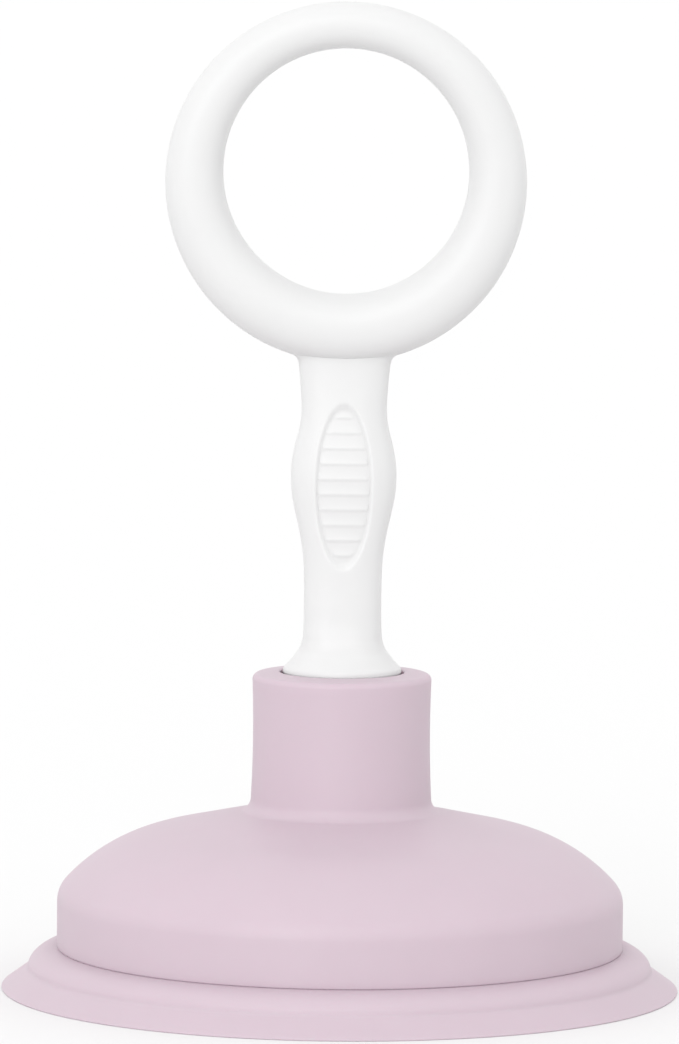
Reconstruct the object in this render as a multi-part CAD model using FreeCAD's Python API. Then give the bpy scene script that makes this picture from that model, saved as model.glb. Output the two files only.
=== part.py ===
"""Hand plunger for sinks: a soft rubber cup with a collar, and a plastic ring handle plugged into it."""
import FreeCAD, Part
import math
import os

os.makedirs("parts", exist_ok=True)

# Driving dimensions in millimetres. Z = 0 is the plane that the lip seals against.
LIP_R = 70.0               # outer edge of the sealing lip
LIP_EDGE = 0.45            # thickness of the lip at that edge
SEAL_INNER_R = 63.0        # the flat sealing face runs from here to the edge
STEP_R, STEP_Z = 64.6, 4.25          # foot of the rolled step, where the lip starts
BAND_R, BAND_Z = 58.6, 8.6           # the upright band and its lower corner
CREASE_DEPTH = 0.5         # how far the crease runs in under the band
WALL = 3.0                 # rubber thickness of the band and the dome
SHOULDER_Z = 18.1          # top of the upright band
SHOULDER_ROUND = 6.0       # the tight bend from band to dome
SHOULDER_TURN = 42.6       # degrees that the tight bend turns through
CROWN_ROUND = 36.8         # the wide bend after it
CROWN_SLOPE = 12.4         # degrees, slope of the upper dome towards the collar
COLLAR_R = 18.65           # collar at its foot
COLLAR_WAIST_R = 18.3      # collar half-way up
COLLAR_TOP_R = 18.5        # collar below its rounded rim
COLLAR_TOP = 66.1          # at the socket's mouth, the highest point of the collar
COLLAR_CROWN = 0.4         # how far the flat top falls from the mouth to the rounded rim
COLLAR_FOOT_ROUND = 3.0
COLLAR_RIM_ROUND = 1.3
SOCKET_R = 12.8            # bore for the handle's plug
SOCKET_FLOOR = 42.0
SOCKET_MOUTH_ROUND = 0.4
PLUG_R = 11.9              # plug core, and the foot where it shows above the collar
PLUG_TOP = 67.0
PLUG_CHAMFER = 1.2
PLUG_GRIP_R = 12.7         # crest of the rings that hold the plug
PLUG_RINGS, PLUG_RING_STEP, PLUG_RING_FIRST = 4, 4.5, 46.0
RING_OUTER_R, RING_OUTER_Z = 37.06, 167.22       # finger ring, outer circle
RING_HOLE_R, RING_HOLE_Z = 25.31, 169.49         # its hole, set higher than the outer circle
RING_DEPTH_TOP, RING_DEPTH_FOOT = 11.6, 14.8     # front to back
RING_SECTIONS = 24
SHAFT = [                  # height, half width, half depth of the oval shaft
    (67.0, 11.9, 11.9), (68.4, 10.6, 10.5), (69.3, 9.9, 9.6), (70.9, 8.8, 8.2), (72.6, 8.2, 7.4),
    (75.0, 7.98, 6.8), (80.5, 7.9, 6.4), (86.0, 7.95, 6.2), (89.2, 8.1, 6.2), (92.5, 8.5, 6.3),
    (95.8, 9.1, 6.45), (99.1, 9.85, 6.6), (102.4, 10.5, 6.75), (106.3, 10.8, 6.8), (109.5, 10.65, 6.7),
    (112.4, 10.15, 6.5), (114.5, 9.65, 6.3), (117.3, 8.98, 6.0), (120.5, 8.7, 5.6), (124.0, 8.85, 5.2),
    (128.9, 9.3, 4.8), (134.0, 9.8, 4.6),
]
PANEL_Z, PANEL_HEIGHT, PANEL_WIDTH = 104.9, 35.2, 12.0      # sunken oval on each face of the shaft
PANEL_DEPTH = 0.6
RIB_STEP, RIB_WIDTH, RIBS = 3.17, 1.4, 10
RIB_HEIGHT = 0.35          # the ribs stand on the oval's floor and stay below the shaft's face
RIB_BORDER = 1.1           # plain floor between the ribs' ends and the oval's rim
RIB_RISE = 0.27            # the row of ribs sits this far above the oval's middle
CUT_REACH = 20.0           # cutting prisms run this far in front of the shaft and behind it
STEP_WALL_SLACK = 0.4      # extra rubber at the foot of the rolled step


def polar(centre, radius, degrees):
    """A point on a circle, as (r, z)."""
    angle = math.radians(degrees)
    return centre[0] + radius * math.cos(angle), centre[1] + radius * math.sin(angle)


def revolved(start, *sides):
    """A solid turned about Z. Each side is (r, z) for a straight one, or a pair of them for an arc."""
    here = FreeCAD.Vector(start[0], 0, start[1])
    first, edges = here, []
    for side in sides:
        if isinstance(side[0], tuple):
            middle, there = (FreeCAD.Vector(r, 0, z) for r, z in side)
            edges.append(Part.Arc(here, middle, there).toShape())
        else:
            there = FreeCAD.Vector(side[0], 0, side[1])
            edges.append(Part.LineSegment(here, there).toShape())
        here = there
    edges.append(Part.LineSegment(here, first).toShape())
    face = Part.Face(Part.Wire(edges))
    return face.revolve(FreeCAD.Vector(0, 0, 0), FreeCAD.Vector(0, 0, 1), 360)


def arc(centre, radius, from_deg, to_deg):
    """The middle and end point of an arc side."""
    return polar(centre, radius, (from_deg + to_deg) / 2), polar(centre, radius, to_deg)


# Shared lines of the cup: the dome's two bends, its slope and the fillet at the collar's foot.
shoulder_centre = (BAND_R - SHOULDER_ROUND, SHOULDER_Z)
crown_centre = polar(shoulder_centre, SHOULDER_ROUND - CROWN_ROUND, SHOULDER_TURN)
crown_end_deg = 90 - CROWN_SLOPE
slope = math.radians(CROWN_SLOPE)


def slope_z(r, depth=0.0):
    """Height of the dome's straight upper slope at radius r, or of a surface that deep below it."""
    end_r, end_z = polar(crown_centre, CROWN_ROUND - depth, crown_end_deg)
    return end_z + (end_r - r) * math.tan(slope)


fillet_r = COLLAR_R + COLLAR_FOOT_ROUND
fillet_centre = (fillet_r, slope_z(fillet_r) + COLLAR_FOOT_ROUND / math.cos(slope))
ceiling_z = slope_z(COLLAR_R, WALL)
step_inner = (STEP_R - WALL - STEP_WALL_SLACK, STEP_Z)


def sealing_lip():
    """The thin wedge of rubber that lies flat on the basin."""
    edge = LIP_EDGE / 2
    return revolved(
        (SEAL_INNER_R, 0), (LIP_R - edge, 0), arc((LIP_R - edge, edge), edge, -90, 90),
        (STEP_R, STEP_Z), step_inner,
    )


def rolled_step():
    """The round bead between the lip and the band, hollow inside."""
    top_r = BAND_R - CREASE_DEPTH
    bulge = math.sqrt(0.5)
    outer_middle = (top_r + (STEP_R - top_r) * bulge, STEP_Z + (BAND_Z - STEP_Z) * bulge)
    inner_r = BAND_R - WALL
    inner_middle = (inner_r + (step_inner[0] - inner_r) * bulge, STEP_Z + (BAND_Z - STEP_Z) * bulge)
    return revolved((STEP_R, STEP_Z), (outer_middle, (top_r, BAND_Z)), (inner_r, BAND_Z),
                    (inner_middle, step_inner))


def cup_band():
    """The upright wall, with a small round at its lower corner that makes the crease."""
    round_ = CREASE_DEPTH
    return revolved(
        (BAND_R - WALL, BAND_Z), (BAND_R - round_, BAND_Z),
        arc((BAND_R - round_, BAND_Z + round_), round_, -90, 0),
        (BAND_R, SHOULDER_Z), (BAND_R - WALL, SHOULDER_Z),
    )


def cup_dome():
    """The part of the cup that folds down when the plunger is pushed."""
    return revolved(
        (BAND_R, SHOULDER_Z),
        arc(shoulder_centre, SHOULDER_ROUND, 0, SHOULDER_TURN),
        arc(crown_centre, CROWN_ROUND, SHOULDER_TURN, crown_end_deg),
        polar(fillet_centre, COLLAR_FOOT_ROUND, 270 - CROWN_SLOPE),
        arc(fillet_centre, COLLAR_FOOT_ROUND, 270 - CROWN_SLOPE, 180),
        (COLLAR_R, ceiling_z),
        polar(crown_centre, CROWN_ROUND - WALL, crown_end_deg),
        arc(crown_centre, CROWN_ROUND - WALL, crown_end_deg, SHOULDER_TURN),
        arc(shoulder_centre, SHOULDER_ROUND - WALL, SHOULDER_TURN, 0),
    )


def handle_collar():
    """The thick collar with its blind socket, and the solid floor under the socket."""
    rim, mouth = COLLAR_RIM_ROUND, SOCKET_MOUTH_ROUND
    rim_z = COLLAR_TOP - COLLAR_CROWN - rim
    waist = (COLLAR_WAIST_R, (fillet_centre[1] + rim_z) / 2)
    return revolved(
        (0, ceiling_z), (COLLAR_R, ceiling_z), (COLLAR_R, fillet_centre[1]),
        (waist, (COLLAR_TOP_R, rim_z)),
        arc((COLLAR_TOP_R - rim, rim_z), rim, 0, 90),
        (SOCKET_R + mouth, COLLAR_TOP),
        arc((SOCKET_R + mouth, COLLAR_TOP - mouth), mouth, 90, 180),
        (SOCKET_R, SOCKET_FLOOR), (0, SOCKET_FLOOR),
    )


def handle_plug():
    """The round plug that stands on the socket's floor, held by raised rings."""
    sides = [(PLUG_R - PLUG_CHAMFER, SOCKET_FLOOR), (PLUG_R, SOCKET_FLOOR + PLUG_CHAMFER)]
    proud = PLUG_GRIP_R - PLUG_R
    for n in range(PLUG_RINGS):
        z = PLUG_RING_FIRST + n * PLUG_RING_STEP
        sides += [(PLUG_R, z - proud), arc((PLUG_R, z), proud, -90, 90)]
    return revolved((0, SOCKET_FLOOR), *sides, (PLUG_R, PLUG_TOP), (0, PLUG_TOP))


def oval(centre, along, across, half_along, half_across):
    """An ellipse as a wire. The longer half size must be half_along."""
    ellipse = Part.Ellipse(centre + along * half_along, centre + across * half_across, centre)
    return Part.Wire([ellipse.toShape()])


def shaft_loft(thinner=0.0):
    """The whole shaft, or the same shape with less depth for the floor and the ribs of the sunken oval."""
    x, y = FreeCAD.Vector(1, 0, 0), FreeCAD.Vector(0, 1, 0)
    rounder = 0.999            # an ellipse needs one axis a little shorter, even where the foot is round
    wires = [oval(FreeCAD.Vector(0, 0, z), x, y, width, min(depth, width * rounder) - thinner)
             for z, width, depth in SHAFT]
    return Part.makeLoft(wires, True)


def panel_prism(border=0.0):
    """An upright oval cutter through the shaft, that far inside the panel's rim."""
    middle = FreeCAD.Vector(0, -CUT_REACH, PANEL_Z)
    outline = oval(middle, FreeCAD.Vector(0, 0, 1), FreeCAD.Vector(1, 0, 0),
                   PANEL_HEIGHT / 2 - border, PANEL_WIDTH / 2 - border)
    return Part.Face(outline).extrude(FreeCAD.Vector(0, 2 * CUT_REACH, 0))


def panel_pockets():
    """What is cut away for the ovals, front and back: all above their floor but the row of ribs."""
    lowest = PANEL_Z + RIB_RISE - (RIBS - 1) * RIB_STEP / 2 - RIB_WIDTH / 2
    bars = []
    for n in range(RIBS):
        corner = FreeCAD.Vector(-PANEL_WIDTH / 2, -CUT_REACH, lowest + n * RIB_STEP)
        bars.append(Part.makeBox(PANEL_WIDTH, 2 * CUT_REACH, RIB_WIDTH, corner))
    ribs = panel_prism(RIB_BORDER).common(Part.makeCompound(bars)).common(shaft_loft(PANEL_DEPTH - RIB_HEIGHT))
    return panel_prism().cut(shaft_loft(PANEL_DEPTH)).cut(ribs)


def grip_shaft(ring):
    """The oval shaft from the plug up to the finger ring, with a ribbed panel on each face."""
    return shaft_loft().cut(panel_pockets()).cut(ring)


def finger_ring():
    """The finger ring: an oval section that is thicker and deeper at the foot than at the top."""
    y = FreeCAD.Vector(0, 1, 0)
    wires = []
    for n in range(RING_SECTIONS):
        angle = 2 * math.pi * n / RING_SECTIONS
        out = FreeCAD.Vector(math.sin(angle), 0, math.cos(angle))
        hole = FreeCAD.Vector(0, 0, RING_HOLE_Z)
        inner = hole + out * RING_HOLE_R
        lift = RING_HOLE_Z - RING_OUTER_Z
        reach = -lift * out.z + math.sqrt(RING_OUTER_R ** 2 - (lift * out.x) ** 2)
        outer = hole + out * reach
        half_across = (outer - inner).Length / 2
        share = (1 - out.z) / 2
        half_depth = (RING_DEPTH_TOP + (RING_DEPTH_FOOT - RING_DEPTH_TOP) * share) / 2
        middle = (inner + outer) * 0.5
        if half_depth > half_across:
            wires.append(oval(middle, y, out, half_depth, half_across))
        else:
            wires.append(oval(middle, out, y, half_across, half_depth))
    return Part.makeLoft(wires, True, False, True)


ring = finger_ring()
nodes = {
    "sealing_lip": sealing_lip(),
    "rolled_step": rolled_step(),
    "cup_band": cup_band(),
    "cup_dome": cup_dome(),
    "handle_collar": handle_collar(),
    "handle_plug": handle_plug(),
    "grip_shaft": grip_shaft(ring),
    "finger_ring": ring,
}
for name, shape in nodes.items():
    shape.exportStep(f"parts/{name}.step")
    box = shape.optimalBoundingBox()
    print(f"{name}: {len(shape.Solids)} solid, valid {shape.isValid()}, {shape.Volume / 1000:.2f} cm3,"
          f" z {box.ZMin:.2f} to {box.ZMax:.2f}")
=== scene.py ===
"""A hand plunger for sinks: a mauve rubber cup and a white ring handle, standing in a plain pale studio."""
import math
import bpy
from mathutils import Matrix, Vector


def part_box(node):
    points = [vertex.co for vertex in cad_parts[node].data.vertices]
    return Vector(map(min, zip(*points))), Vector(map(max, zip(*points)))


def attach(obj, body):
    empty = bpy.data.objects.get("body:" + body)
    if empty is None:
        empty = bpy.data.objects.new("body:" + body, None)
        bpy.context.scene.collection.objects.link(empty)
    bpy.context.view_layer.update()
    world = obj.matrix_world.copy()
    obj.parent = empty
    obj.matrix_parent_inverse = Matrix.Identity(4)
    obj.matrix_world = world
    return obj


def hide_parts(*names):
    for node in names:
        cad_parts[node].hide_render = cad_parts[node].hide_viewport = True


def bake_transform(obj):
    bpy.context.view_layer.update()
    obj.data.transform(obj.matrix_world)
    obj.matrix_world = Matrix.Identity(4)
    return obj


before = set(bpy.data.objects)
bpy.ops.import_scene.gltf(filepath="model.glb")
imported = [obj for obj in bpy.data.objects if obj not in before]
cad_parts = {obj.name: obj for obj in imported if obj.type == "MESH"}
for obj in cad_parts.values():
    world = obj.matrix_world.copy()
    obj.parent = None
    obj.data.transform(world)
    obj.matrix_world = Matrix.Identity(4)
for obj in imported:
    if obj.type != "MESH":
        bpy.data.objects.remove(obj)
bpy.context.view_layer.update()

# ---------------------------------------------------------------------------------------------------------
# The cup: one moulding of soft rubber, round about the handle's axis. A thin lip seals on the basin, a rolled
# step and an upright band keep it in shape, and a low dome carries the collar that the handle plugs into.
# ---------------------------------------------------------------------------------------------------------
MM = 0.001
lip_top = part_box("sealing_lip")[1] / MM        # the lip's outer radius, and the height where the step starts
band_low, band_top = (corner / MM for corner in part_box("cup_band"))
dome_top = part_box("cup_dome")[1] / MM
collar_low, collar_top = (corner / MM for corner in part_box("handle_collar"))

CUP_WALL = 3.0                 # millimetres of rubber in the band and the dome
LIP_EDGE, LIP_EDGE_START = 0.45, 60            # the lip's thickness at its rim, and its round edge's start
SEAL_WIDTH = 7.0               # flat underside of the lip
STEP_RADIUS = 64.6             # foot of the rolled step
STEP_WALL_SLACK = 0.4          # how much more rubber the step has at its foot
CREASE, CREASE_TURN = 0.35, 75                 # the fold's reach under the band, and the degrees it turns
SHOULDER_ROUND, SHOULDER_TURN = 6.0, 42.6      # the tight bend from band to dome, and the degrees it turns
CROWN_ROUND, CROWN_SLOPE = 36.8, 12.4          # the wide bend after it, and the slope it ends in
COLLAR_FOOT, COLLAR_WAIST, COLLAR_LIP = 18.65, 18.3, 18.5      # the collar's radius going up
COLLAR_FOOT_ROUND, COLLAR_RIM_ROUND = 3.0, 1.3
COLLAR_ROWS = 16               # rows of faces up the collar's side
COLLAR_CROWN = 0.4             # how far the collar's top falls from the socket's mouth to the rounded rim
SOCKET_RADIUS, SOCKET_FLOOR, SOCKET_MOUTH_ROUND = 12.8, 42.0, 0.4
CUP_STEPS = 240                # faces round the cup
SHARP_EDGE = math.radians(50)  # a bend tighter than this is left crisp


def polar(centre, radius, degrees):
    """A point on a circle in the outline's plane, as (distance from the axis, height)."""
    angle = math.radians(degrees)
    return centre[0] + radius * math.cos(angle), centre[1] + radius * math.sin(angle)


def bend(centre, radius, start, end, spacing):
    """Points along an arc of an outline, about that many millimetres apart."""
    steps = max(3, math.ceil(math.radians(abs(end - start)) * radius / spacing))
    return [polar(centre, radius, start + (end - start) * n / steps) for n in range(steps + 1)]


def straight(start, end, spacing):
    """Points along a straight side, about that many millimetres apart, without its two ends."""
    steps = max(2, math.ceil(math.dist(start, end) / spacing))
    return [tuple(a + (b - a) * n / steps for a, b in zip(start, end)) for n in range(1, steps)]


def closed_skin(name, rows):
    """A closed mesh round Z from rows of points that go up the outside, closed to the axis at both ends."""
    steps = len(rows[0])
    points = [(0, 0, rows[0][0][2])] + [p for row in rows for p in row] + [(0, 0, rows[-1][0][2])]
    last = len(points) - 1 - steps
    faces = []
    for n in range(steps):
        after = (n + 1) % steps
        faces += [(0, 1 + after, 1 + n), (last + n, last + after, len(points) - 1)]
        for a in range(1, last, steps):
            b = a + steps
            faces.append((a + n, a + after, b + after, b + n))
    mesh = bpy.data.meshes.new(name)
    mesh.from_pydata([tuple(c * MM for c in p) for p in points], [], faces)
    return mesh


def shade(piece):
    """Shades a piece smoothly, with its tight edges left crisp."""
    for polygon in piece.data.polygons:
        polygon.use_smooth = True
    piece.data.set_sharp_from_angle(angle=SHARP_EDGE)


shoulder = (band_top.x - SHOULDER_ROUND, band_top.z)
crown = polar(shoulder, SHOULDER_ROUND - CROWN_ROUND, SHOULDER_TURN)
fillet_centre = (COLLAR_FOOT + COLLAR_FOOT_ROUND, dome_top.z)
lip_edge = (lip_top.x - LIP_EDGE / 2, LIP_EDGE / 2)
step_height = band_low.z - lip_top.z
step_top = band_top.x - CREASE
step_inner = STEP_RADIUS - CUP_WALL - STEP_WALL_SLACK
rim_centre = (COLLAR_LIP - COLLAR_RIM_ROUND, collar_top.z - COLLAR_CROWN - COLLAR_RIM_ROUND)
waist_rise = rim_centre[1] - dome_top.z


def collar_side(share):
    """The collar's outside from its foot to its rim: it draws in very slightly and opens again."""
    swell = 4 * share * (1 - share)
    ends = COLLAR_FOOT + (COLLAR_LIP - COLLAR_FOOT) * share
    middle = (COLLAR_FOOT + COLLAR_LIP) / 2 - COLLAR_WAIST
    return ends - middle * swell, dome_top.z + waist_rise * share


# The outline from the middle of the socket's floor, over the collar and down the outside to the lip's edge.
outside = straight((0, SOCKET_FLOOR), (SOCKET_RADIUS, SOCKET_FLOOR), spacing=2.2)
outside += [(SOCKET_RADIUS, SOCKET_FLOOR)]
outside += straight(outside[-1], (SOCKET_RADIUS, collar_top.z - SOCKET_MOUTH_ROUND), spacing=1.5)
outside += bend((SOCKET_RADIUS + SOCKET_MOUTH_ROUND, collar_top.z - SOCKET_MOUTH_ROUND), SOCKET_MOUTH_ROUND,
                180, 90, spacing=0.15)
outside += straight(outside[-1], (rim_centre[0], collar_top.z - COLLAR_CROWN), spacing=1.0)
outside += bend(rim_centre, COLLAR_RIM_ROUND, 90, 0, spacing=0.25)
outside += [collar_side(n / COLLAR_ROWS) for n in range(COLLAR_ROWS - 1, 0, -1)]
outside += bend(fillet_centre, COLLAR_FOOT_ROUND, 180, 270 - CROWN_SLOPE, spacing=0.3)
outside += straight(outside[-1], polar(crown, CROWN_ROUND, 90 - CROWN_SLOPE), spacing=1.5)
outside += bend(crown, CROWN_ROUND, 90 - CROWN_SLOPE, SHOULDER_TURN, spacing=0.8)
outside += bend(shoulder, SHOULDER_ROUND, SHOULDER_TURN, 0, spacing=0.4)[1:]
outside += straight(outside[-1], (band_top.x, band_low.z + CREASE), spacing=1.2)
outside += bend((band_top.x - CREASE, band_low.z + CREASE), CREASE, 0, -CREASE_TURN, spacing=0.12)
outside += [(step_top + (STEP_RADIUS - step_top) * math.sin(math.radians(a)),
             lip_top.z + step_height * math.cos(math.radians(a))) for a in range(4, 91, 5)]
outside += straight((STEP_RADIUS, lip_top.z), polar(lip_edge, LIP_EDGE / 2, LIP_EDGE_START), spacing=0.8)
outside += bend(lip_edge, LIP_EDGE / 2, LIP_EDGE_START, -90, spacing=0.08)

# Then back under the lip and up the inside to the middle of the collar's underside.
inside = straight((lip_edge[0], 0), (lip_top.x - SEAL_WIDTH, 0), spacing=1.5)
inside += [(lip_top.x - SEAL_WIDTH, 0)]
inside += straight(inside[-1], (step_inner, lip_top.z), spacing=0.8)
inner_band = band_top.x - CUP_WALL
inside += [(inner_band + (step_inner - inner_band) * math.cos(math.radians(a)),
            lip_top.z + step_height * math.sin(math.radians(a))) for a in range(0, 91, 9)]
inside += straight(inside[-1], (inner_band, band_top.z), spacing=1.5)
inside += bend(shoulder, SHOULDER_ROUND - CUP_WALL, 0, SHOULDER_TURN, spacing=0.4)
inside += bend(crown, CROWN_ROUND - CUP_WALL, SHOULDER_TURN, 90 - CROWN_SLOPE, spacing=0.8)[1:]
inside += straight(inside[-1], (COLLAR_FOOT, collar_low.z), spacing=1.5)
inside += [(COLLAR_FOOT, collar_low.z)]
inside += straight(inside[-1], (0, collar_low.z), spacing=2.4)

turns = [math.tau * n / CUP_STEPS for n in range(CUP_STEPS)]
cup_rows = [[(r * math.cos(turn), r * math.sin(turn), z) for turn in turns] for r, z in outside + inside]
cup = bpy.data.objects.new("rubber_cup", closed_skin("rubber_cup", cup_rows[::-1]))
bpy.context.scene.collection.objects.link(cup)
shade(cup)


def linear(hex_colour):
    """An sRGB hex colour as linear red, green, blue and alpha."""
    channels = [int(hex_colour[n:n + 2], 16) / 255 for n in (0, 2, 4)]
    return [c / 12.92 if c <= 0.04045 else ((c + 0.055) / 1.055) ** 2.4 for c in channels] + [1.0]


def add_node(tree, kind, inputs=(), **settings):
    """Adds a node. inputs gives sockets, by name or number, a value, a node or one of a node's outputs."""
    made = tree.nodes.new(kind)
    for key, value in settings.items():
        setattr(made, key, value)
    for key, value in dict(inputs).items():
        if isinstance(value, bpy.types.Node):
            value = value.outputs[0]
        if isinstance(value, bpy.types.NodeSocket):
            tree.links.new(value, made.inputs[key])
        else:
            made.inputs[key].default_value = value
    return made


# Moulded thermoplastic rubber: a dull, even skin with hardly any gloss, and a pigment that is very slightly
# uneven. The mould's blasted grain is really about 0.1 mm, too fine to show, so it is drawn at 0.45 mm.
PIGMENT_CLOUD, RUBBER_GRAIN = 14 * MM, 0.45 * MM
rubber = bpy.data.materials.new("moulded_thermoplastic_rubber")
rubber.use_nodes = True
tree = rubber.node_tree
tree.nodes.clear()
place = add_node(tree, "ShaderNodeTexCoord")
cloud = add_node(tree, "ShaderNodeTexNoise", {"Vector": place.outputs["Object"], "Scale": 1 / PIGMENT_CLOUD,
                                              "Detail": 3.0, "Roughness": 0.55})
pigment = add_node(tree, "ShaderNodeMix", {"Factor": cloud.outputs["Fac"], 6: linear("BDACB6"),
                                           7: linear("C1B0BA")}, data_type="RGBA")
grain = add_node(tree, "ShaderNodeTexNoise", {"Vector": place.outputs["Object"], "Scale": 1 / RUBBER_GRAIN,
                                              "Detail": 2.0})
relief = add_node(tree, "ShaderNodeBump", {"Height": grain.outputs["Fac"], "Strength": 0.25,
                                           "Distance": 0.03 * MM})
skin = add_node(tree, "ShaderNodeBsdfPrincipled", {
    "Base Color": pigment.outputs[2], "Roughness": 0.52, "IOR": 1.5, "Normal": relief.outputs["Normal"],
    "Subsurface Weight": 0.2, "Subsurface Scale": 2 * MM, "Subsurface Radius": (1.0, 0.6, 0.75)})
add_node(tree, "ShaderNodeOutputMaterial", {"Surface": skin.outputs[0]})
cup.data.materials.append(rubber)

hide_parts("sealing_lip", "rolled_step", "cup_band", "cup_dome", "handle_collar")
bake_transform(cup)

# ---------------------------------------------------------------------------------------------------------
# The handle: one moulding of white polypropylene. A round plug with raised rings stands in the collar's
# socket, a flared foot leads into an oval shaft with a ribbed panel on each face, and a finger ring ends it.
# ---------------------------------------------------------------------------------------------------------
plug_low, plug_top = (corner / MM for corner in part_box("handle_plug"))
ring_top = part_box("finger_ring")[1].z / MM
PLUG_CLEARANCE = 0.15          # the plug stands this far off the socket's floor
PLUG_RADIUS, PLUG_CHAMFER = 11.9, 1.2
PLUG_RINGS, PLUG_RING_STEP, PLUG_RING_FIRST = 4, 4.5, 46.0
SHAFT = [                      # height, half width and half depth, from the rim under the flared foot
    (65.6, 11.9, 11.9), (65.95, 12.16, 12.16), (66.4, 12.13, 12.13), (66.8, 12.04, 12.04),
    (67.2, 11.79, 11.79), (67.7, 11.3, 11.25), (68.4, 10.6, 10.5), (69.3, 9.9, 9.6),
    (70.9, 8.8, 8.2), (72.6, 8.2, 7.4), (75.0, 7.98, 6.8), (80.5, 7.9, 6.4), (86.0, 7.95, 6.2),
    (89.2, 8.1, 6.2), (92.5, 8.5, 6.3), (95.8, 9.1, 6.45), (99.1, 9.85, 6.6), (102.4, 10.5, 6.75),
    (106.3, 10.8, 6.8), (109.5, 10.65, 6.7), (112.4, 10.15, 6.5), (114.5, 9.65, 6.3), (117.3, 8.98, 6.0),
    (120.5, 8.7, 5.6), (124.0, 8.85, 5.2), (128.6, 9.25, 4.8), (130.3, 9.5, 4.7), (131.2, 9.95, 4.65),
    (131.9, 10.9, 4.6), (132.6, 11.8, 4.6),
]
ROUND, SHAFT_SQUARENESS = 2, 2.8               # 2 is an ellipse, more is nearer to a rectangle
SQUARE_OVER = 8.0              # height in which the round plug turns into the squarer shaft
FOOT_END, FILLET_START = 75.0, 127.0           # where the foot's bend ends and the ring's fillet starts
PANEL_Z, PANEL_HEIGHT, PANEL_WIDTH, PANEL_DEPTH = 104.9, 35.2, 12.0, 0.6
CLOSE_ROW, PLAIN_ROW = 0.2, 0.8                # height of the mesh's rows
SHAFT_STEPS = 192


def along_shaft(z, column):
    """A half width or half depth of the shaft at height z, on a smooth curve through the list."""
    heights = [row[0] for row in SHAFT]
    values = [row[column] for row in SHAFT]
    z = max(z, heights[0])
    n = max(k for k in range(len(SHAFT) - 1) if heights[k] <= z)
    gaps = [heights[k + 1] - heights[k] for k in range(len(SHAFT) - 1)]
    rises = [(values[k + 1] - values[k]) / gaps[k] for k in range(len(SHAFT) - 1)]

    def slope(k):
        if k in (0, len(SHAFT) - 1):
            return rises[min(k, len(rises) - 1)]
        return (rises[k - 1] * gaps[k] + rises[k] * gaps[k - 1]) / (gaps[k] + gaps[k - 1])

    t = (z - heights[n]) / gaps[n]
    first = (2 * t ** 3 - 3 * t ** 2 + 1) * values[n] + (t ** 3 - 2 * t ** 2 + t) * gaps[n] * slope(n)
    return first + (3 * t ** 2 - 2 * t ** 3) * values[n + 1] + (t ** 3 - t ** 2) * gaps[n] * slope(n + 1)


def oval_row(z, half_width, half_depth, squareness):
    """One row of points round the handle."""
    row = []
    for n in range(SHAFT_STEPS):
        angle = math.tau * n / SHAFT_STEPS
        c, s = math.cos(angle), math.sin(angle)
        power = 2 / squareness
        row.append((math.copysign(abs(c) ** power, c) * half_width,
                    math.copysign(abs(s) ** power, s) * half_depth, z))
    return row


def row_height(z):
    """The mesh's rows are close together at the foot, at the ribbed oval and at the fillet under the ring."""
    beside_panel = abs(z - PANEL_Z) >= PANEL_HEIGHT / 2 + 1
    return PLAIN_ROW if beside_panel and FOOT_END < z < FILLET_START else CLOSE_ROW


rows = []
plug_foot = plug_low.z + PLUG_CLEARANCE
rows.append(oval_row(plug_foot, PLUG_RADIUS - PLUG_CHAMFER, PLUG_RADIUS - PLUG_CHAMFER, ROUND))
rows.append(oval_row(plug_foot + PLUG_CHAMFER, PLUG_RADIUS, PLUG_RADIUS, ROUND))
proud = plug_top.x - PLUG_RADIUS
for n in range(PLUG_RINGS):
    ring_z = PLUG_RING_FIRST + n * PLUG_RING_STEP
    for r, z in bend((PLUG_RADIUS, ring_z), proud, -90, 90, spacing=0.3):
        rows.append(oval_row(z, r, r, ROUND))
z = rows[-1][0][2] + PLAIN_ROW
while z < SHAFT[0][0] - CLOSE_ROW:
    rows.append(oval_row(z, PLUG_RADIUS, PLUG_RADIUS, ROUND))
    z += PLAIN_ROW
z = SHAFT[0][0]
while z < SHAFT[-1][0]:
    settled = min(1.0, max(0.0, z - plug_top.z) / SQUARE_OVER)
    squareness = ROUND + (SHAFT_SQUARENESS - ROUND) * settled * settled * (3 - 2 * settled)
    rows.append(oval_row(z, along_shaft(z, 1), along_shaft(z, 2), squareness))
    z += row_height(z)
handle = bpy.data.objects.new("ring_handle", closed_skin("handle_blank", rows))
bpy.context.scene.collection.objects.link(handle)

# Moulded polypropylene: a clean white with a satin skin and a little light inside it. The grain left by the
# spark-cut mould is really about 0.05 mm, too fine to show, so it is drawn at 0.35 mm.
WHITE_CLOUD, PLASTIC_GRAIN = 20 * MM, 0.35 * MM
plastic = bpy.data.materials.new("moulded_white_polypropylene")
plastic.use_nodes = True
tree = plastic.node_tree
tree.nodes.clear()
place = add_node(tree, "ShaderNodeTexCoord")
cloud = add_node(tree, "ShaderNodeTexNoise", {"Vector": place.outputs["Object"], "Scale": 1 / WHITE_CLOUD,
                                              "Detail": 2.0})
pigment = add_node(tree, "ShaderNodeMix", {"Factor": cloud.outputs["Fac"], 6: linear("D1D1D1"),
                                           7: linear("D4D4D4")}, data_type="RGBA")
grain = add_node(tree, "ShaderNodeTexNoise", {"Vector": place.outputs["Object"], "Scale": 1 / PLASTIC_GRAIN,
                                              "Detail": 2.0})
relief = add_node(tree, "ShaderNodeBump", {"Height": grain.outputs["Fac"], "Strength": 0.2,
                                           "Distance": 0.02 * MM})
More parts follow.
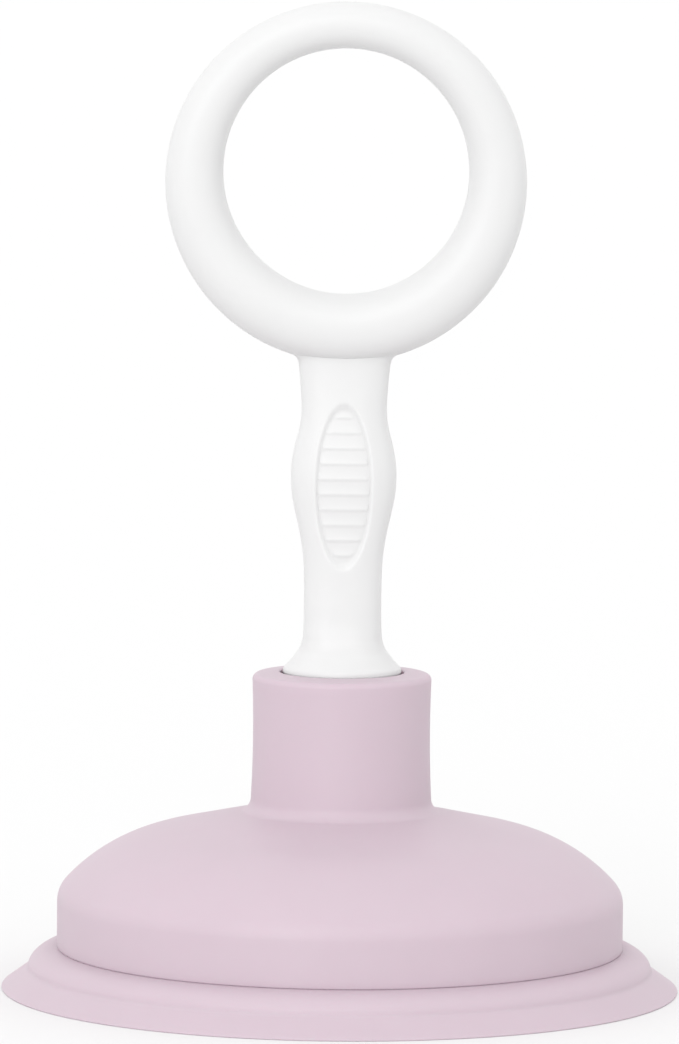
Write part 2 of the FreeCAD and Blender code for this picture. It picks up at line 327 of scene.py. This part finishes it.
skin = add_node(tree, "ShaderNodeBsdfPrincipled", {
    "Base Color": pigment.outputs[2], "Roughness": 0.42, "IOR": 1.49, "Normal": relief.outputs["Normal"],
    "Subsurface Weight": 0.4, "Subsurface Scale": 2.5 * MM, "Subsurface Radius": (1.0, 1.0, 1.0)})
add_node(tree, "ShaderNodeOutputMaterial", {"Surface": skin.outputs[0]})

# The rule that finishes the blank: it sinks the ribbed oval into both faces, bends the finger ring out of an
# oval section that is thickest at its foot, leaves the mould's parting ridge and grows the two together.
RING_OUTER, RING_HOLE, RING_HOLE_Z = 37.06, 25.31, 169.49
ring_centre = ring_top - RING_OUTER
sizes = {
    "Panel height": PANEL_HEIGHT * MM, "Panel middle": PANEL_Z * MM, "Panel width": PANEL_WIDTH * MM,
    "Panel depth": PANEL_DEPTH * MM, "Panel rim": 0.7 * MM, "Panel border": 0.65 * MM,
    "Rib step": 3.17 * MM, "Rib height": 0.35 * MM, "Rib count": 10.0, "Lowest rib": 90.15 * MM,
    "Rib curl": 2.5, "Rib fall": 0.24, "Rib end fade": 0.4 * MM,
    "Ring radius": (RING_OUTER + RING_HOLE) / 2 * MM, "Ring centre": (ring_centre + RING_HOLE_Z) / 2 * MM,
    "Section": (RING_OUTER - RING_HOLE) / 2 * MM, "Section swing": (RING_HOLE_Z - ring_centre) / 2 * MM,
    "Depth": 6.6 * MM, "Depth swing": 0.8 * MM, "Squareness": 2.4, "Parting ridge": 0.08 * MM,
    "Parting reach": 0.01 * MM, "Ring steps": 256, "Section steps": 64, "Plastic": plastic}
kinds = {float: "NodeSocketFloat", int: "NodeSocketInt", bpy.types.Material: "NodeSocketMaterial"}
rule = bpy.data.node_groups.new("ribbed_panels_and_finger_ring", "GeometryNodeTree")
rule.interface.new_socket("Geometry", in_out="INPUT", socket_type="NodeSocketGeometry")
for label, value in sizes.items():
    rule.interface.new_socket(label, in_out="INPUT", socket_type=kinds[type(value)])
rule.interface.new_socket("Geometry", in_out="OUTPUT", socket_type="NodeSocketGeometry")
given = add_node(rule, "NodeGroupInput").outputs
position = add_node(rule, "GeometryNodeInputPosition")
split = add_node(rule, "ShaderNodeSeparateXYZ", {0: position}).outputs
MATH = "ShaderNodeMath"

# How far a point lies inside the oval, measured across it: nought on the rim, half the width in the middle.
half_width = add_node(rule, MATH, {0: given["Panel width"], 1: 0.5}, operation="MULTIPLY")
half_height = add_node(rule, MATH, {0: given["Panel height"], 1: 0.5}, operation="MULTIPLY")
rise = add_node(rule, MATH, {0: split["Z"], 1: given["Panel middle"]}, operation="SUBTRACT")
across = add_node(rule, MATH, {0: split["X"], 1: half_width}, operation="DIVIDE")
up = add_node(rule, MATH, {0: rise, 1: half_height}, operation="DIVIDE")
oval_place = add_node(rule, "ShaderNodeCombineXYZ", {"X": across, "Y": up})
reach = add_node(rule, "ShaderNodeVectorMath", {0: oval_place}, operation="LENGTH").outputs["Value"]
unit_inward = add_node(rule, MATH, {0: 1.0, 1: reach}, operation="SUBTRACT")
inward = add_node(rule, MATH, {0: unit_inward, 1: half_width}, operation="MULTIPLY")
sunk = add_node(rule, "ShaderNodeMapRange", {
    "Value": inward, "From Min": 0.0, "From Max": given["Panel rim"]}, interpolation_type="SMOOTHSTEP")
floor_depth = add_node(rule, MATH, {0: sunk, 1: given["Panel depth"]}, operation="MULTIPLY")

# The ribs: going down, each swells slowly from the floor and ends in a short steep fall. They stop short of
# the oval's rim.
above_lowest = add_node(rule, MATH, {0: split["Z"], 1: given["Lowest rib"]}, operation="SUBTRACT")
ribs_up = add_node(rule, MATH, {0: above_lowest, 1: given["Rib step"]}, operation="DIVIDE")
in_step = add_node(rule, MATH, {0: ribs_up}, operation="FRACT")
left_in_step = add_node(rule, MATH, {0: 1.0, 1: in_step}, operation="SUBTRACT")
swell = add_node(rule, MATH, {0: left_in_step, 1: given["Rib curl"]}, operation="POWER")
fall = add_node(rule, "ShaderNodeMapRange", {
    "Value": in_step, "From Min": 0.0, "From Max": given["Rib fall"]}, interpolation_type="SMOOTHSTEP")
rib = add_node(rule, MATH, {0: swell, 1: fall}, operation="MULTIPLY")
not_below = add_node(rule, MATH, {0: ribs_up, 1: 0.0}, operation="GREATER_THAN")
not_above = add_node(rule, MATH, {0: ribs_up, 1: given["Rib count"]}, operation="LESS_THAN")
counted = add_node(rule, MATH, {0: not_below, 1: not_above}, operation="MULTIPLY")
rib_end = add_node(rule, MATH, {0: given["Panel border"], 1: given["Rib end fade"]}, operation="ADD")
bordered = add_node(rule, "ShaderNodeMapRange", {
    "Value": inward, "From Min": given["Panel border"], "From Max": rib_end}, interpolation_type="SMOOTHSTEP")
whole_rib = add_node(rule, MATH, {0: rib, 1: counted}, operation="MULTIPLY")
ribbed = add_node(rule, MATH, {0: whole_rib, 1: bordered}, operation="MULTIPLY")
rib_height = add_node(rule, MATH, {0: ribbed, 1: given["Rib height"]}, operation="MULTIPLY")
depth = add_node(rule, MATH, {0: floor_depth, 1: rib_height}, operation="SUBTRACT")
facing = add_node(rule, MATH, {0: split["Y"]}, operation="SIGN")
outwards = add_node(rule, MATH, {0: facing, 1: depth}, operation="MULTIPLY")
inwards = add_node(rule, MATH, {0: outwards, 1: -1.0}, operation="MULTIPLY")
sunken = add_node(rule, "GeometryNodeSetPosition", {
    "Geometry": given["Geometry"], "Offset": add_node(rule, "ShaderNodeCombineXYZ", {"Y": inwards})})

# The ring: a round tube along a circle, drawn out front to back into an oval section.
path = add_node(rule, "GeometryNodeCurvePrimitiveCircle",
                {"Resolution": given["Ring steps"], "Radius": given["Ring radius"]})
centre = add_node(rule, "ShaderNodeCombineXYZ", {"Z": given["Ring centre"]})
upright = add_node(rule, "GeometryNodeTransform", {
    "Geometry": path, "Translation": centre, "Rotation": (math.pi / 2, 0, 0)})
from_centre = add_node(rule, "ShaderNodeVectorMath", {0: position, 1: centre}, operation="SUBTRACT")
flat = add_node(rule, "ShaderNodeVectorMath", {0: from_centre, 1: (1, 0, 1)}, operation="MULTIPLY")
outward = add_node(rule, "ShaderNodeVectorMath", {0: flat}, operation="NORMALIZE")
lean = add_node(rule, "ShaderNodeSeparateXYZ", {0: outward}).outputs["Z"]
thinner = add_node(rule, MATH, {0: given["Section swing"], 1: lean}, operation="MULTIPLY")
thick = add_node(rule, MATH, {0: given["Section"], 1: thinner}, operation="SUBTRACT")
shallower = add_node(rule, MATH, {0: given["Depth swing"], 1: lean}, operation="MULTIPLY")
deep = add_node(rule, MATH, {0: given["Depth"], 1: shallower}, operation="SUBTRACT")

# The section is a circle pushed out towards its corners by the squareness, where 2 would leave it a circle.
section = add_node(rule, "GeometryNodeCurvePrimitiveCircle",
                   {"Resolution": given["Section steps"], "Radius": 1.0})
sides = []
for axis in ("X", "Y"):
    size = add_node(rule, MATH, {0: split[axis]}, operation="ABSOLUTE")
    sides.append(add_node(rule, MATH, {0: size, 1: given["Squareness"]}, operation="POWER"))
both = add_node(rule, MATH, {0: sides[0], 1: sides[1]}, operation="ADD")
root = add_node(rule, MATH, {0: -1.0, 1: given["Squareness"]}, operation="DIVIDE")
swollen = add_node(rule, MATH, {0: both, 1: root}, operation="POWER")
pushed = add_node(rule, "ShaderNodeVectorMath", {0: position, "Scale": swollen}, operation="SCALE")
squarer = add_node(rule, "GeometryNodeSetPosition", {"Geometry": section, "Position": pushed})
tube = add_node(rule, "GeometryNodeCurveToMesh", {"Curve": upright, "Profile Curve": squarer, "Scale": thick})
drawn_out = add_node(rule, MATH, {0: deep, 1: thick}, operation="DIVIDE")
stretch = add_node(rule, MATH, {0: drawn_out, 1: 1.0}, operation="SUBTRACT")
deeper = add_node(rule, MATH, {0: split["Y"], 1: stretch}, operation="MULTIPLY")
ring = add_node(rule, "GeometryNodeSetPosition", {
    "Geometry": tube, "Offset": add_node(rule, "ShaderNodeCombineXYZ", {"Y": deeper})})

# The parting ridge, where the mould's halves met: the line of points half-way front to back stands proud.
normal = add_node(rule, "GeometryNodeInputNormal")
on_parting = add_node(rule, MATH, {0: split["Y"], 1: 0.0, 2: given["Parting reach"]}, operation="COMPARE")
proud_by = add_node(rule, MATH, {0: on_parting, 1: given["Parting ridge"]}, operation="MULTIPLY")
ridge = add_node(rule, "ShaderNodeVectorMath", {0: normal, "Scale": proud_by}, operation="SCALE")
ridged_shaft = add_node(rule, "GeometryNodeSetPosition", {"Geometry": sunken, "Offset": ridge})
ridged_ring = add_node(rule, "GeometryNodeSetPosition", {"Geometry": ring, "Offset": ridge})

grown = add_node(rule, "GeometryNodeMeshBoolean", {"Mesh 2": ridged_shaft}, operation="UNION", solver="EXACT")
rule.links.new(ridged_ring.outputs[0], grown.inputs["Mesh 2"])
real = add_node(rule, "GeometryNodeRealizeInstances", {"Geometry": grown})
finished = add_node(rule, "GeometryNodeSetMaterial", {"Geometry": real, "Material": given["Plastic"]})
add_node(rule, "NodeGroupOutput", {"Geometry": finished})

modifier = handle.modifiers.new("finish", "NODES")
modifier.node_group = rule
for socket in rule.interface.items_tree:
    if socket.item_type == "SOCKET" and socket.in_out == "INPUT" and socket.name in sizes:
        modifier[socket.identifier] = sizes[socket.name]
graph = bpy.context.evaluated_depsgraph_get()
handle.data = bpy.data.meshes.new_from_object(handle.evaluated_get(graph))
handle.modifiers.clear()
shade(handle)

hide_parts("handle_plug", "grip_shaft", "finger_ring")
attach(handle, "handle")

# ---------------------------------------------------------------------------------------------------------
# The studio: a floor of plain matt paper that runs out of sight, an even white surround, a soft key light
# from the front, a little to the left and 20 degrees up, and a long lens a little above the ring.
# ---------------------------------------------------------------------------------------------------------
FLOOR_RADIUS, FLOOR_STEPS = 6.0, 64
floor_mesh = bpy.data.meshes.new("studio_floor")
floor_mesh.from_pydata([(FLOOR_RADIUS * math.cos(math.tau * n / FLOOR_STEPS),
                         FLOOR_RADIUS * math.sin(math.tau * n / FLOOR_STEPS), 0) for n in range(FLOOR_STEPS)],
                       [], [tuple(range(FLOOR_STEPS))])
floor = bpy.data.objects.new("studio_floor", floor_mesh)
bpy.context.scene.collection.objects.link(floor)
# Uncoated white paper: matt, so that it shows only a soft shadow.
paper = bpy.data.materials.new("white_background_paper")
paper.use_nodes = True
paper.node_tree.nodes["Principled BSDF"].inputs["Base Color"].default_value = linear("E2E2E2")
paper.node_tree.nodes["Principled BSDF"].inputs["Roughness"].default_value = 0.9
floor_mesh.materials.append(paper)

world = bpy.data.worlds.new("white_surround")
world.use_nodes = True
world.node_tree.nodes["Background"].inputs["Color"].default_value = (1, 1, 1, 1)
world.node_tree.nodes["Background"].inputs["Strength"].default_value = 1.17
bpy.context.scene.world = world

key = bpy.data.objects.new("key_light", bpy.data.lights.new("key_light", "SUN"))
key.data.energy = 1.15
key.data.angle = math.radians(50)
key.rotation_euler = (math.radians(70), 0, math.radians(-18))
bpy.context.scene.collection.objects.link(key)

CAMERA_DISTANCE, CAMERA_HEIGHT, CAMERA_LEFT = 1.750, 0.2708, 0.00079
CAMERA_DOWN, CAMERA_ROLL = 5.669, 0.49         # degrees
camera = bpy.data.objects.new("camera", bpy.data.cameras.new("camera"))
camera.data.sensor_fit = "VERTICAL"
camera.data.sensor_height = 24.0
camera.data.lens = 196.0
camera.data.clip_end = 30.0
camera.matrix_world = (Matrix.Translation((-CAMERA_LEFT, -CAMERA_DISTANCE, CAMERA_HEIGHT))
                       @ Matrix.Rotation(math.radians(90 - CAMERA_DOWN), 4, "X")
                       @ Matrix.Rotation(math.radians(CAMERA_ROLL), 4, "Z"))
bpy.context.scene.collection.objects.link(camera)
bpy.context.scene.camera = camera
bpy.context.scene.view_settings.view_transform = "Standard"
